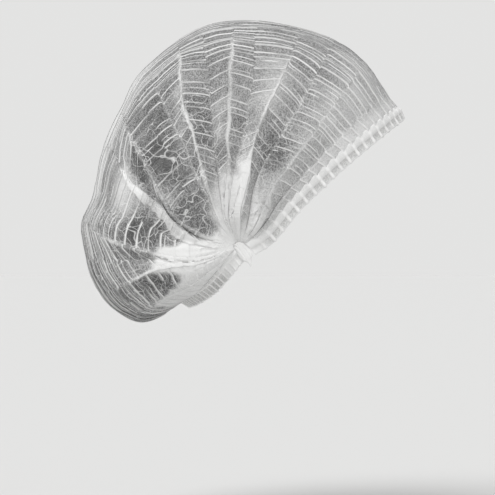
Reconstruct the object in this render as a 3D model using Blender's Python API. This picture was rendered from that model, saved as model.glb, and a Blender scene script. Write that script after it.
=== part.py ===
"""Disposable hair cover cap, as worn: a pleated nonwoven crown gathered to a weld at each ear,
with an elastic hem round the front half of the head opening and another round the nape.

Frame, in metres: +X forward (towards the forehead), +Y the wearer's left, +Z up.
The origin is the centre of the head opening. The opening lies in one plane, tilted up at the forehead.
Lengths below are millimetres and angles degrees.
"""

import math

import bmesh
import bpy
import numpy as np

MM = 0.001

# Head opening. u runs forward in the opening's plane, w is the height above it, y is sideways.
RIM_TILT = 40.2
RIM_HALF_LENGTH = 110.3
EAR_U = -48.5  # the ear welds sit behind the middle of the opening
EAR_Y = 71.5

# The opening's edge hangs a little lower over and behind each ear, and higher where the weld draws it up.
# One row for each place along the edge.
EDGE_COLUMNS = ("u", "low")
EDGE = (
    (-160.0, 0.0),
    (-122.0, 0.0),
    (-110.0, 2.4),
    (-100.0, 5.6),
    (-86.0, 7.2),
    (-72.0, 6.0),
    (-60.0, 3.7),
    (-52.0, 2.9),
    (-44.0, 4.2),
    (-33.0, 6.3),
    (-20.0, 5.4),
    (-8.0, 3.1),
    (2.0, 1.3),
    (16.0, 0.0),
    (160.0, 0.0),
)
EDGE_FULL = 14.0  # height up to which the cloth follows the edge
EDGE_GONE = 60.0  # height from which it no longer does

# Hem: a flattened casing with the elastic threaded through its upper part
HEM_HEIGHT = 10.5
HEM_THICK = 3.2
HEM_WALL = 1.0
FRONT_FLARE = 1.6  # the upper edge stands this much further out than the lower one
NAPE_FLARE = 4.2
HEM_IN = 0.4  # the hem stands this much inside the crown's edge
CASING_LOW = 4.7
ELASTIC_WIDE = 4.2
ELASTIC_THICK = 0.6
GAP = 0.3

# Crown
CROWN_WALL = 1.2
CROWN_W = HEM_HEIGHT + GAP
EYE_R = 4.4  # radius of the half-round eye that the crown leaves about each ear weld
ALONG = 64  # facets from forehead to nape
ACROSS = 14  # facets from the middle line to one ear

# Ear weld: the bunched end of the pleats, pressed flat, with a pointed tail
WELD_WIDE = 8.0
WELD_THICK = 3.0
WELD_TOP_R = 3.7
TAIL_WIDE = 3.4
TAIL_LONG = 6.2
TAIL_BACK = 3.2  # the tail's tip lies this much further back than its root

# One row for each section of the crown, from the forehead edge over the top to the nape edge.
# along: share of the way over the head. lift: angle above the opening's plane, about the ear-to-ear line.
# reach: from that line to the middle of the crown. half: largest half width. widest: its distance from the line.
# square: how boxy the arch is (2 is an ellipse).
SECTION_COLUMNS = ("along", "lift", "reach", "half", "widest", "square")
SECTIONS = (
    (0.000, 0.0, 161.2, 76.5, 47.0, 2.05),
    (0.018, 3.1, 162.0, 78.0, 49.0, 2.05),
    (0.045, 7.6, 165.2, 80.5, 51.0, 2.08),
    (0.086, 14.2, 170.2, 84.0, 55.0, 2.12),
    (0.147, 24.1, 173.0, 87.5, 60.0, 2.18),
    (0.222, 36.2, 172.7, 90.5, 64.0, 2.24),
    (0.292, 47.5, 172.2, 92.5, 67.0, 2.28),
    (0.355, 57.7, 169.8, 94.0, 68.0, 2.30),
    (0.420, 68.2, 159.9, 95.0, 68.0, 2.30),
    (0.491, 80.4, 149.2, 96.0, 66.0, 2.30),
    (0.547, 90.2, 137.0, 96.5, 64.0, 2.28),
    (0.632, 107.5, 123.8, 96.5, 60.0, 2.26),
    (0.697, 122.6, 117.0, 96.0, 57.5, 2.24),
    (0.741, 132.6, 121.0, 95.5, 55.0, 2.24),
    (0.783, 142.2, 117.8, 94.5, 53.0, 2.24),
    (0.829, 153.2, 114.8, 93.0, 50.0, 2.22),
    (0.898, 169.9, 106.0, 88.5, 43.0, 2.18),
    (0.948, 181.1, 92.6, 82.5, 33.0, 2.12),
    (0.966, 183.7, 84.2, 79.5, 26.0, 2.10),
    (0.982, 184.4, 76.0, 75.8, 17.0, 2.06),
    (0.993, 182.9, 69.6, 73.0, 9.0, 2.02),
    (1.000, 180.0, 65.5, 71.6, 5.0, 2.00),
)

# One row for each main fold that fans out from an ear weld. along: where it runs on the crown. turn: how far
# along shifts on the way up. near, far: where it starts and ends, as shares of the way from the weld to the
# middle line. high: height, below 0 for a valley. wide: half width, in shares of the way over the head.
FOLD_COLUMNS = ("along", "turn", "near", "far", "high", "wide")
FOLDS = (
    (0.090, 0.000, 0.12, 0.72, 1.6, 0.022),
    (0.196, -0.080, 0.12, 0.68, 2.0, 0.022),
    (0.266, -0.095, 0.06, 0.72, 2.6, 0.020),
    (0.292, -0.030, 0.05, 0.60, -1.8, 0.018),
    (0.322, 0.000, 0.02, 0.86, 4.0, 0.022),
    (0.372, 0.000, 0.05, 0.66, -3.0, 0.024),
    (0.424, 0.000, 0.03, 0.84, 3.6, 0.022),
    (0.508, -0.065, 0.10, 0.72, 2.0, 0.022),
    (0.580, -0.030, 0.06, 0.62, -3.0, 0.034),
    (0.755, -0.210, 0.03, 0.66, 4.4, 0.030),
    (0.787, -0.140, 0.06, 0.50, -2.0, 0.018),
    (0.815, -0.100, 0.05, 0.60, 3.0, 0.020),
    (0.850, -0.090, 0.05, 0.50, -2.4, 0.018),
    (0.883, -0.085, 0.03, 0.68, 4.0, 0.020),
    (0.925, -0.090, 0.05, 0.50, -2.6, 0.020),
)


FOLD_STEEP = 0.9  # a fold is never taller than this many times its half width


def column(rows, names, name):
    return np.array([row[names.index(name)] for row in rows], float)


def smooth_through(xs, ys, x):
    """A smooth curve through the table's points, with slopes from their neighbours."""
    h = np.diff(xs)
    d = np.diff(ys) / h
    slope = np.empty(len(xs))
    slope[1:-1] = (d[:-1] * h[1:] + d[1:] * h[:-1]) / (h[:-1] + h[1:])
    slope[0], slope[-1] = d[0], d[-1]
    i = np.clip(np.searchsorted(xs, x, side="right") - 1, 0, len(h) - 1)
    q = (x - xs[i]) / h[i]
    a = 2 * q**3 - 3 * q**2 + 1
    b = q**3 - 2 * q**2 + q
    c = -2 * q**3 + 3 * q**2
    e = q**3 - q**2
    return a * ys[i] + b * h[i] * slope[i] + c * ys[i + 1] + e * h[i] * slope[i + 1]


def ease(x):
    x = np.clip(x, 0.0, 1.0)
    return x * x * (3 - 2 * x)


def section(along):
    at = column(SECTIONS, SECTION_COLUMNS, "along")
    return {
        name: smooth_through(at, column(SECTIONS, SECTION_COLUMNS, name), along)
        for name in SECTION_COLUMNS[1:]
    }


def arch(along, across):
    """(distance from the ear-to-ear line, half width there) on one section, evenly spaced along its arch.
    across is 0 at the middle line and 1 at the ear weld."""
    row = section(np.array([along]))
    reach, half, widest, square = (
        float(row[n][0]) for n in ("reach", "half", "widest", "square")
    )
    beta = np.linspace(0.0, math.pi / 2, 260)
    outer_d = widest + (reach - widest) * np.cos(beta).clip(0, 1) ** (2 / square)
    outer_y = half * np.sin(beta) ** (2 / square)
    c = np.linspace(1.0, 0.0, 120)[1:]
    inner_d = EYE_R + (widest - EYE_R) * c
    inner_y = EAR_Y + (half - EAR_Y) * np.sin(math.pi / 2 * c)
    d, y = np.append(outer_d, inner_d), np.append(outer_y, inner_y)
    run = np.append(0.0, np.cumsum(np.hypot(np.diff(d), np.diff(y))))
    at = np.asarray(across, float) * run[-1]
    return np.interp(at, run, d), np.interp(at, run, y), run[-1], reach


def crown_points(along, across):
    """The crown's outer form without folds: an array [along, across, (u, y, w)], with across from -1 to 1."""
    out = np.empty((len(along), len(across), 3))
    for i, a in enumerate(along):
        d, y, _, reach = arch(a, np.abs(across))
        mid = float(section(np.array([a]))["lift"][0])
        root = 180.0 * a
        angle = np.radians(root + (mid - root) * ease((d - EYE_R) / (0.8 * reach)))
        out[i, :, 0] = EAR_U + d * np.cos(angle)
        out[i, :, 1] = np.where(across < 0, -y, y)
        out[i, :, 2] = CROWN_W + d * np.sin(angle)
    return out


def normals_of(points):
    du = np.gradient(points, axis=0)
    dv = np.gradient(points, axis=1)
    n = np.cross(du, dv)
    n /= np.linalg.norm(n, axis=2, keepdims=True)
    middle = np.array([EAR_U + 20.0, 0.0, CROWN_W + 40.0])
    flip = ((points - middle) * n).sum() < 0
    return -n if flip else n


def fold_height(along, across):
    """Height of the main folds at each point of the crown's grid."""
    a, c = np.meshgrid(along, 1 - np.abs(across), indexing="ij")
    total = np.zeros_like(a)
    run = np.array([arch(x, [0.0])[2] for x in along])[:, None] * c
    for at, turn, near, far, high, wide in FOLDS:
        line = at + turn * c
        ends = ease((c - near * 0.4) / (near * 1.2 + 0.05)) * ease((far - c) / (0.55 * far))
        tall = np.minimum(abs(high), FOLD_STEEP * wide * math.pi * run) * math.copysign(1, high)
        total += tall * np.exp(-(((a - line) / wide) ** 2)) * ends
    edge = ease(a / 0.06) * ease((1 - a) / 0.06)
    return total * edge


def to_frame(points):
    """From the opening's plane (u, y, w) to the object's frame, in metres, with the edge let down by EDGE."""
    t = math.radians(RIM_TILT)
    u, y, w = points[..., 0], points[..., 1], points[..., 2]
    low = smooth_through(column(EDGE, EDGE_COLUMNS, "u"), column(EDGE, EDGE_COLUMNS, "low"), u)
    w = w - low * (1 - ease((w - EDGE_FULL) / (EDGE_GONE - EDGE_FULL)))
    x = u * math.cos(t) - w * math.sin(t)
    z = u * math.sin(t) + w * math.cos(t)
    return np.stack([x, y, z], axis=-1) * MM


def material(name, colour, roughness):
    m = bpy.data.materials.new(name)
    m.use_nodes = True
    shader = m.node_tree.nodes["Principled BSDF"]
    shader.inputs["Base Color"].default_value = (*colour, 1.0)
    shader.inputs["Roughness"].default_value = roughness
    shader.inputs["Metallic"].default_value = 0.0
    m.diffuse_color = (*colour, 1.0)
    return m


def solid(name, points, faces, finish, smooth=None):
    mesh = bpy.data.meshes.new(name)
    mesh.from_pydata([tuple(p) for p in to_frame(points)], [], faces)
    work = bmesh.new()
    work.from_mesh(mesh)
    bmesh.ops.recalc_face_normals(work, faces=work.faces)
    work.to_mesh(mesh)
    work.free()
    if smooth is not None:
        mesh.shade_smooth()
        mesh.set_sharp_from_angle(angle=math.radians(smooth))
    mesh.materials.append(finish)
    obj = bpy.data.objects.new(name, mesh)
    bpy.context.scene.collection.objects.link(obj)
    return obj


def crown(finish):
    """A thin wall: the outer form with its folds, and the same form one wall thickness further in."""
    along = np.linspace(0, 1, ALONG + 1)
    across = np.linspace(-1, 1, 2 * ACROSS + 1)
    base = crown_points(along, across)
    n = normals_of(base)
    outer = base + n * fold_height(along, across)[..., None]
    step_in = n * CROWN_WALL
    # the front edge stands straight up from the hem, and the nape edge leaves it flat
    for i, share in ((0, 1.0), (1, 0.5)):
        flat = step_in[i].copy()
        flat[:, 2] *= 1 - share
        length = np.linalg.norm(flat, axis=1, keepdims=True)
        step_in[i] = flat / np.maximum(length, 1e-6) * CROWN_WALL
    inner = outer - step_in
    inner[..., 2] = np.maximum(inner[..., 2], np.minimum(outer[..., 2], CROWN_W))
    rows, cols = outer.shape[:2]
    points = np.concatenate([outer.reshape(-1, 3), inner.reshape(-1, 3)])

    def at(i, j, layer):
        return layer * rows * cols + i * cols + j

    faces = []
    for i in range(rows - 1):
        for j in range(cols - 1):
            faces.append((at(i, j, 0), at(i, j + 1, 0), at(i + 1, j + 1, 0), at(i + 1, j, 0)))
            faces.append((at(i, j, 1), at(i + 1, j, 1), at(i + 1, j + 1, 1), at(i, j + 1, 1)))
    for j in range(cols - 1):
        faces.append((at(0, j, 0), at(0, j, 1), at(0, j + 1, 1), at(0, j + 1, 0)))
        faces.append((at(rows - 1, j, 0), at(rows - 1, j + 1, 0), at(rows - 1, j + 1, 1), at(rows - 1, j, 1)))
    for i in range(rows - 1):
        faces.append((at(i, 0, 0), at(i + 1, 0, 0), at(i + 1, 0, 1), at(i, 0, 1)))
        faces.append((at(i, cols - 1, 0), at(i, cols - 1, 1), at(i + 1, cols - 1, 1), at(i + 1, cols - 1, 0)))
    return solid("crown", points, faces, finish, smooth=40)


def rim_line(along, end_gap, count):
    """Points and outward directions along one half of the head opening, from the right ear to the left."""
    _, _, run, _ = arch(along, [0.0])
    last = 1 - end_gap / run
    across = np.linspace(-last, last, count)
    d, y, _, _ = arch(along, np.abs(across))
    sign = 1.0 if along == 0.0 else -1.0
    line = np.stack([EAR_U + sign * d, np.where(across < 0, -y, y)], axis=1)
    tangent = np.gradient(line, axis=0)
    tangent /= np.linalg.norm(tangent, axis=1, keepdims=True)
    outward = np.stack([tangent[:, 1], -tangent[:, 0]], axis=1)
    if ((line - [EAR_U, 0]) * outward).sum() < 0:
        outward = -outward
    return line, outward


def strip(name, along, end_gap, count, outline, finish, hole=None):
    """A strip swept along half of the opening. outline and hole are (out, up) corners of its cross-section:
    out is measured from the hem's outer face, up from the opening."""
    line, outward = rim_line(along, end_gap, count)
    middle = np.cos(np.linspace(-math.pi / 2, math.pi / 2, count)) ** 0.5
    flare = FRONT_FLARE if along == 0.0 else FRONT_FLARE + (NAPE_FLARE - FRONT_FLARE) * middle
    flare = flare * np.ones(count)
    loops = [outline] + ([hole] if hole else [])
    size = len(outline)
    points, faces = [], []
    for p, o, lean in zip(line, outward, flare):
        for loop in loops:
            for out, up in loop:
                q = p + o * (out - HEM_IN + lean * (up / HEM_HEIGHT - 1.0))
                points.append((q[0], q[1], up))
    each = size * len(loops)
    for i in range(count - 1):
        for k in range(len(loops)):
            for c in range(size):
                a, b = k * size + c, k * size + (c + 1) % size
                quad = (i * each + a, i * each + b, (i + 1) * each + b, (i + 1) * each + a)
                faces.append(quad if k == 0 else quad[::-1])
    for i in (0, count - 1):
        start = i * each
        if hole:
            for c in range(size):
                e = (c + 1) % size
                quad = (start + c, start + e, start + size + e, start + size + c)
                faces.append(quad[::-1] if i == 0 else quad)
        else:
            cap = tuple(start + c for c in range(size))
            faces.append(cap[::-1] if i == 0 else cap)
    return solid(name, np.array(points), faces, finish, smooth=40)


def box_corners(out_low, out_high, up_low, up_high):
    return [(out_low, up_low), (out_high, up_low), (out_high, up_high), (out_low, up_high)]


def hem_and_elastic(side, along, count, cloth, rubber):
    hole_high = HEM_HEIGHT - HEM_WALL
    strip(
        side + "_hem",
        along,
        WELD_WIDE / 2 - EYE_R + GAP + 0.2,
        count,
        box_corners(-HEM_THICK, 0.0, 0.0, HEM_HEIGHT),
        cloth,
        hole=box_corners(-HEM_THICK + HEM_WALL, -HEM_WALL, CASING_LOW, hole_high),
    )
    middle_out = -HEM_THICK / 2
    middle_up = (CASING_LOW + hole_high) / 2
    strip(
        side + "_elastic",
        along,
        WELD_WIDE / 2 - EYE_R + GAP + 0.6,
        count,
        box_corners(
            middle_out - ELASTIC_THICK / 2,
            middle_out + ELASTIC_THICK / 2,
            middle_up - ELASTIC_WIDE / 2,
            middle_up + ELASTIC_WIDE / 2,
        ),
        rubber,
    )


def ear_weld(name, side, finish):
    """A flat tongue seen from the side: a half-round top in the crown's eye, straight flanks between the two
    hems, and the pointed tail below the opening."""
    arc = [
        (WELD_TOP_R * math.cos(math.radians(a)), CROWN_W + WELD_TOP_R * math.sin(math.radians(a)))
        for a in range(0, 181, 20)
    ]
    flank = WELD_WIDE / 2 - 0.2
    outline = (
        [(flank, 0.0), (flank, HEM_HEIGHT - 0.2)]
        + arc
        + [(-flank, HEM_HEIGHT - 0.2), (-flank, 0.0), (-TAIL_WIDE / 2 - 0.6, -0.5)]
        + [(-TAIL_BACK - 0.3, -TAIL_LONG), (-TAIL_BACK + 0.3, -TAIL_LONG), (TAIL_WIDE / 2 - 0.6, -0.5)]
    )
    near, far = EAR_Y - WELD_THICK, EAR_Y
    points = [(EAR_U + u, side * near, w) for u, w in outline] + [(EAR_U + u, side * far, w) for u, w in outline]
    n = len(outline)
    faces = [tuple(range(n)), tuple(range(2 * n - 1, n - 1, -1))]
    faces += [(i, (i + 1) % n, n + (i + 1) % n, n + i) for i in range(n)]
    return solid(name, np.array(points), faces, finish)


for old in list(bpy.data.objects):
    bpy.data.objects.remove(old, do_unlink=True)

nonwoven = material("nonwoven", (0.88, 0.89, 0.89), 0.75)
hem_cloth = material("hem_nonwoven", (0.90, 0.91, 0.91), 0.7)
elastic_band = material("elastic", (0.93, 0.93, 0.92), 0.6)
weld = material("weld", (0.92, 0.93, 0.93), 0.5)

crown(nonwoven)
hem_and_elastic("front", 0.0, 44, hem_cloth, elastic_band)
hem_and_elastic("nape", 1.0, 26, hem_cloth, elastic_band)
ear_weld("ear_weld_right", -1.0, weld)
ear_weld("ear_weld_left", 1.0, weld)
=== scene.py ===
"""Looks of a disposable hair cover cap: thin pleated nonwoven gathered to a weld at each ear, with an elastic hem.

Metres, +X forward, +Y the wearer's left, +Z up, origin at the centre of the head opening.
Lengths in the tables are millimetres and angles degrees.
"""

import math

import bpy
import numpy as np
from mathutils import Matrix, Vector, noise


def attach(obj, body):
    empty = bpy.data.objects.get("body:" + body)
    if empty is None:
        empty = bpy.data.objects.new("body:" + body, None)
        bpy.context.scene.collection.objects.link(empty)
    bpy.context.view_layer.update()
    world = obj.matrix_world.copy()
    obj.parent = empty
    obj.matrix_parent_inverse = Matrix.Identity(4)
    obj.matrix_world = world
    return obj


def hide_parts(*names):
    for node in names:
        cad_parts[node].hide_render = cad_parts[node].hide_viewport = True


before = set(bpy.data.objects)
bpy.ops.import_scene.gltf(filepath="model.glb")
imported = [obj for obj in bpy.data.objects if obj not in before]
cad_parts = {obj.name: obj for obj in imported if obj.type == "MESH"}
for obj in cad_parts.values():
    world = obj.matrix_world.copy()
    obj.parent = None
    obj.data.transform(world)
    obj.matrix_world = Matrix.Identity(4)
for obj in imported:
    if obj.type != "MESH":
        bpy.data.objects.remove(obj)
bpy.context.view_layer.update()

MM = 0.001

# ---------------------------------------------------------------------------------------------------------
# The form that the construction has: the same sections and the same edge.
# ---------------------------------------------------------------------------------------------------------
RIM_TILT = 40.2
EAR_U = -48.5
EAR_Y = 71.5
CROWN_W = 10.8
EYE_R = 4.4
HEM_HEIGHT = 10.5
HEM_IN = 0.4
FRONT_FLARE = 1.6
NAPE_FLARE = 4.2

EDGE_COLUMNS = ("u", "low")
EDGE = (
    (-160.0, 0.0),
    (-122.0, 0.0),
    (-110.0, 2.4),
    (-100.0, 5.6),
    (-86.0, 7.2),
    (-72.0, 6.0),
    (-60.0, 3.7),
    (-52.0, 2.9),
    (-44.0, 4.2),
    (-33.0, 6.3),
    (-20.0, 5.4),
    (-8.0, 3.1),
    (2.0, 1.3),
    (16.0, 0.0),
    (160.0, 0.0),
)
EDGE_FULL = 14.0
EDGE_GONE = 60.0

SECTION_COLUMNS = ("along", "lift", "reach", "half", "widest", "square")
SECTIONS = (
    (0.000, 0.0, 161.2, 76.5, 47.0, 2.05),
    (0.018, 3.1, 162.0, 78.0, 49.0, 2.05),
    (0.045, 7.6, 165.2, 80.5, 51.0, 2.08),
    (0.086, 14.2, 170.2, 84.0, 55.0, 2.12),
    (0.147, 24.1, 173.0, 87.5, 60.0, 2.18),
    (0.222, 36.2, 172.7, 90.5, 64.0, 2.24),
    (0.292, 47.5, 172.2, 92.5, 67.0, 2.28),
    (0.355, 57.7, 169.8, 94.0, 68.0, 2.30),
    (0.420, 68.2, 159.9, 95.0, 68.0, 2.30),
    (0.491, 80.4, 149.2, 96.0, 66.0, 2.30),
    (0.547, 90.2, 137.0, 96.5, 64.0, 2.28),
    (0.632, 107.5, 123.8, 96.5, 60.0, 2.26),
    (0.697, 122.6, 117.0, 96.0, 57.5, 2.24),
    (0.741, 132.6, 121.0, 95.5, 55.0, 2.24),
    (0.783, 142.2, 117.8, 94.5, 53.0, 2.24),
    (0.829, 153.2, 114.8, 93.0, 50.0, 2.22),
    (0.898, 169.9, 106.0, 88.5, 43.0, 2.18),
    (0.948, 181.1, 92.6, 82.5, 33.0, 2.12),
    (0.966, 183.7, 84.2, 79.5, 26.0, 2.10),
    (0.982, 184.4, 76.0, 75.8, 17.0, 2.06),
    (0.993, 182.9, 69.6, 73.0, 9.0, 2.02),
    (1.000, 180.0, 65.5, 71.6, 5.0, 2.00),
)

# ---------------------------------------------------------------------------------------------------------
# Folds. One row for each line that fans out from an ear weld, from the forehead edge to the nape edge.
# c00 to c70: where along the crown the line is, at 0 to 0.70 of the way up from the weld.
# high: height of the line above (below 0: under) the form. shift: how far the pleats' creases stand off from
# their place there, as a share of the way up, and jump: how much that changes within the fold.
# far: share of the way up at which the line has gone. white: how much the layers in the fold whiten it.
# way: the cloth folds over itself on the line, with the upper layer's edge towards the nape (1) or the
# forehead (-1). lap_near, lap_far: how wide the layers lie over each other near the weld and further up.
# ---------------------------------------------------------------------------------------------------------
UP_KNOTS = (0.0, 0.10, 0.20, 0.35, 0.50, 0.70)
LINE_COLUMNS = (
    "c00", "c10", "c20", "c35", "c50", "c70", "high", "shift", "jump", "far", "white", "way", "lap_near", "lap_far"
)
LINES = (
    (0.000, 0.000, 0.000, 0.000, 0.000, 0.000, 0.0, 0.000, 0.000, 0.60, 0.0, 0, 0.0, 0.0),
    (0.050, 0.050, 0.040, 0.027, 0.026, 0.028, -0.6, -0.012, 0.006, 0.72, 0.35, 1, 2.0, 0.9),
    (0.125, 0.123, 0.118, 0.096, 0.088, 0.086, 1.8, -0.025, 0.010, 0.74, 0.5, 1, 5.0, 1.1),
    (0.210, 0.205, 0.200, 0.172, 0.156, 0.148, -1.6, -0.045, -0.012, 0.76, 0.35, 1, 4.0, 0.9),
    (0.292, 0.287, 0.236, 0.233, 0.218, 0.205, 2.2, -0.010, 0.012, 0.76, 0.58, -1, 15.0, 1.1),
    (0.440, 0.400, 0.325, 0.275, 0.270, 0.275, -1.8, -0.025, 0.010, 0.70, 0.15, 1, 4.0, 0.5),
    (0.460, 0.425, 0.345, 0.324, 0.321, 0.312, 3.0, 0.000, 0.014, 0.80, 0.72, 1, 8.0, 1.5),
    (0.480, 0.450, 0.385, 0.366, 0.366, 0.366, -2.4, -0.020, -0.012, 0.74, 0.2, 1, 4.0, 0.6),
    (0.500, 0.475, 0.435, 0.426, 0.430, 0.410, 3.0, 0.015, -0.012, 0.84, 0.64, -1, 8.0, 1.25),
    (0.530, 0.515, 0.485, 0.465, 0.474, 0.475, 0.8, -0.005, 0.010, 0.74, 0.35, 1, 7.0, 0.8),
    (0.600, 0.590, 0.560, 0.520, 0.520, 0.515, -1.6, 0.020, 0.000, 0.70, 0.0, 0, 0.0, 0.0),
    (0.690, 0.680, 0.660, 0.598, 0.578, 0.555, 1.2, 0.050, 0.012, 0.70, 0.4, -1, 8.0, 1.6),
    (0.730, 0.720, 0.690, 0.635, 0.625, 0.590, -2.0, 0.015, 0.000, 0.66, 0.0, 0, 0.0, 0.0),
    (0.775, 0.765, 0.726, 0.654, 0.642, 0.612, 2.0, -0.010, 0.015, 0.62, 1.00, -1, 9.0, 6.2),
    (0.800, 0.790, 0.760, 0.720, 0.715, 0.680, -1.6, 0.020, 0.000, 0.60, 0.0, 0, 0.0, 0.0),
    (0.845, 0.840, 0.820, 0.790, 0.765, 0.740, 2.4, 0.040, 0.010, 0.66, 0.6, -1, 9.0, 1.4),
    (0.865, 0.862, 0.845, 0.820, 0.810, 0.800, -0.7, 0.000, 0.000, 0.60, 0.0, 0, 0.0, 0.0),
    (0.892, 0.888, 0.872, 0.848, 0.856, 0.860, 3.0, -0.020, 0.012, 0.70, 0.7, 1, 12.0, 1.8),
    (0.910, 0.905, 0.895, 0.885, 0.890, 0.900, -2.0, -0.005, 0.000, 0.60, 0.0, 0, 0.0, 0.0),
    (0.955, 0.950, 0.935, 0.932, 0.920, 0.930, 1.4, 0.010, 0.000, 0.66, 0.5, -1, 6.0, 1.6),
    (1.000, 1.000, 1.000, 1.000, 1.000, 1.000, 0.0, 0.000, 0.000, 0.60, 0.0, 0, 0.0, 0.0),
)
MASS_LINE = 4  # the fold that the gathered mass ends at, towards the forehead
LAYER = 0.5  # half of the thickness of a fold's three layers

# How far up from the weld the cloth lies bunched in many layers, and how dense it is there.
MASS_COLUMNS = ("along", "up", "dense")
MASS = (
    (0.000, 0.02, 0.6),
    (0.200, 0.04, 0.6),
    (0.232, 0.29, 1.0),
    (0.262, 0.29, 1.0),
    (0.290, 0.27, 1.0),
    (0.315, 0.26, 0.85),
    (0.350, 0.24, 0.7),
    (0.400, 0.21, 0.7),
    (0.450, 0.18, 0.85),
    (0.500, 0.14, 1.0),
    (0.600, 0.09, 1.0),
    (0.670, 0.09, 1.0),
    (0.720, 0.16, 1.0),
    (0.770, 0.24, 1.0),
    (0.790, 0.30, 1.0),
    (0.835, 0.37, 1.0),
    (0.857, 0.39, 1.0),
    (0.870, 0.33, 1.0),
    (0.900, 0.30, 0.9),
    (0.918, 0.34, 0.8),
    (0.930, 0.52, 0.75),
    (1.000, 0.56, 0.75),
)

# Lighter patches, partly where the cloth lies double or stands off and partly painted light: a painted highlight along
# the outermost pleats near the top, and painted light on thin cloth that lies in shade beside the welds. Below 0:
# darker, where it lies single and taut.
HAZE_AND_PAINTED_LIGHT_COLUMNS = ("along", "up", "long", "wide", "amount")
HAZE_AND_PAINTED_LIGHT = (
    (0.655, 0.545, 0.045, 0.060, 0.70),
    (0.690, 0.480, 0.035, 0.060, 0.45),
    (0.345, 0.420, 0.018, 0.100, 0.28),
    (0.260, 0.340, 0.020, 0.060, 0.30),
    (0.380, 0.180, 0.045, 0.070, 0.50),
    (0.450, 0.080, 0.050, 0.050, 0.40),
    (0.470, 0.420, 0.022, 0.060, 0.15),
    (0.620, 0.300, 0.030, 0.050, 0.20),
    # these two rows: painted highlight along the outermost pleats near the top, where the light grazes them and leaves
    # them dark
    (0.555, 0.910, 0.090, 0.150, 1.05),
    (0.665, 0.930, 0.048, 0.170, 0.95),
    (0.225, 0.550, 0.035, 0.120, 0.35),
    (0.880, 0.800, 0.080, 0.160, -0.35),
    (0.760, 0.800, 0.040, 0.100, 0.25),
    (0.440, 0.560, 0.014, 0.050, 0.20),
    (0.260, 0.560, 0.060, 0.200, 0.10),
    (0.060, 0.620, 0.080, 0.330, 0.50),
    (0.100, 0.230, 0.080, 0.130, 0.30),
    (0.190, 0.160, 0.060, 0.120, 0.35),
    # these two rows: painted light on thin cloth that lies in shade beside the weld
    (0.240, 0.050, 0.070, 0.080, 0.80),
    (0.110, 0.050, 0.090, 0.090, 0.80),
    (0.960, 0.300, 0.030, 0.260, 0.30),
    (0.545, 0.370, 0.040, 0.090, -0.45),
    (0.500, 0.500, 0.040, 0.100, -0.35),
    (0.745, 0.360, 0.035, 0.090, -0.50),
    (0.600, 0.440, 0.030, 0.080, -0.30),
    (0.150, 0.350, 0.045, 0.070, -0.50),
    (0.890, 0.400, 0.020, 0.100, -0.40),
)

PLEATS_A_SIDE = 21
PLEAT_CLOTH = 12.4  # cloth in each pleat, of which the tuck takes what the pitch doesn't
# Columns of the mesh in one pleat, from a crease towards the weld. x: share of the pitch from the crease.
# tuck: place across the crease's tuck, from the middle line's side (-1) to the weld's (1). layer: 1 top, -1 bottom.
PLEAT_COLUMNS = ("x", "tuck", "layer")
PLEAT = (
    (0.00, -1.0, 1.0),
    (0.00, 1.0, 0.6),
    (0.00, -1.0, -0.6),
    (0.00, 1.0, -1.0),
    (0.055, 0.8, -0.9),
    (0.37, 0.0, -0.3),
    (0.63, 0.0, 0.3),
    (0.945, -0.8, 0.9),
)
TUCK_LAYER = 0.22
OUTLINE_IN = 1.3  # how far the pleats' middle level is inside the form, so that their crests reach it
ROWS = 156  # rows of the mesh over the head, before each sector is rounded and the folds' layers are added
# Rows in a fold. place: across the fold, 0 where the cloth comes to it and 1 where it leaves. layer: as above.
FOLD_COLUMNS = ("place", "layer")
FOLD_ROWS = (
    (0.50, 1.0),
    (0.88, 1.0),
    (1.00, 0.5),
    (0.88, 0.0),
    (0.50, 0.0),
    (0.12, 0.0),
    (0.00, -0.5),
    (0.12, -1.0),
    (0.50, -1.0),
)


def column(rows, names, name):
    return np.array([row[names.index(name)] for row in rows], float)


def smooth_through(xs, ys, x):
    """A smooth curve through the table's points, with slopes from their neighbours."""
    h = np.diff(xs)
    d = np.diff(ys) / h
    slope = np.empty(len(xs))
    slope[1:-1] = (d[:-1] * h[1:] + d[1:] * h[:-1]) / (h[:-1] + h[1:])
    slope[0], slope[-1] = d[0], d[-1]
    i = np.clip(np.searchsorted(xs, x, side="right") - 1, 0, len(h) - 1)
    q = (x - xs[i]) / h[i]
    a = 2 * q**3 - 3 * q**2 + 1
    b = q**3 - 2 * q**2 + q
    c = -2 * q**3 + 3 * q**2
    e = q**3 - q**2
    return a * ys[i] + b * h[i] * slope[i] + c * ys[i + 1] + e * h[i] * slope[i + 1]


def ease(x):
    x = np.clip(x, 0.0, 1.0)
    return x * x * (3 - 2 * x)


def section(along):
    at = column(SECTIONS, SECTION_COLUMNS, "along")
    return {
        name: smooth_through(at, column(SECTIONS, SECTION_COLUMNS, name), along)
        for name in SECTION_COLUMNS[1:]
    }


def arch(along, across):
    """(distance from the ear-to-ear line, half width there), evenly spaced along the section's arch."""
    row = section(np.array([along]))
    reach, half, widest, square = (
        float(row[n][0]) for n in ("reach", "half", "widest", "square")
    )
    beta = np.linspace(0.0, math.pi / 2, 260)
    outer_d = widest + (reach - widest) * np.cos(beta).clip(0, 1) ** (2 / square)
    outer_y = half * np.sin(beta) ** (2 / square)
    c = np.linspace(1.0, 0.0, 120)[1:]
    inner_d = EYE_R + (widest - EYE_R) * c
    inner_y = EAR_Y + (half - EAR_Y) * np.sin(math.pi / 2 * c)
    d, y = np.append(outer_d, inner_d), np.append(outer_y, inner_y)
    run = np.append(0.0, np.cumsum(np.hypot(np.diff(d), np.diff(y))))
    at = np.asarray(across, float) * run[-1]
    return np.interp(at, run, d), np.interp(at, run, y), run[-1], reach


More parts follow.
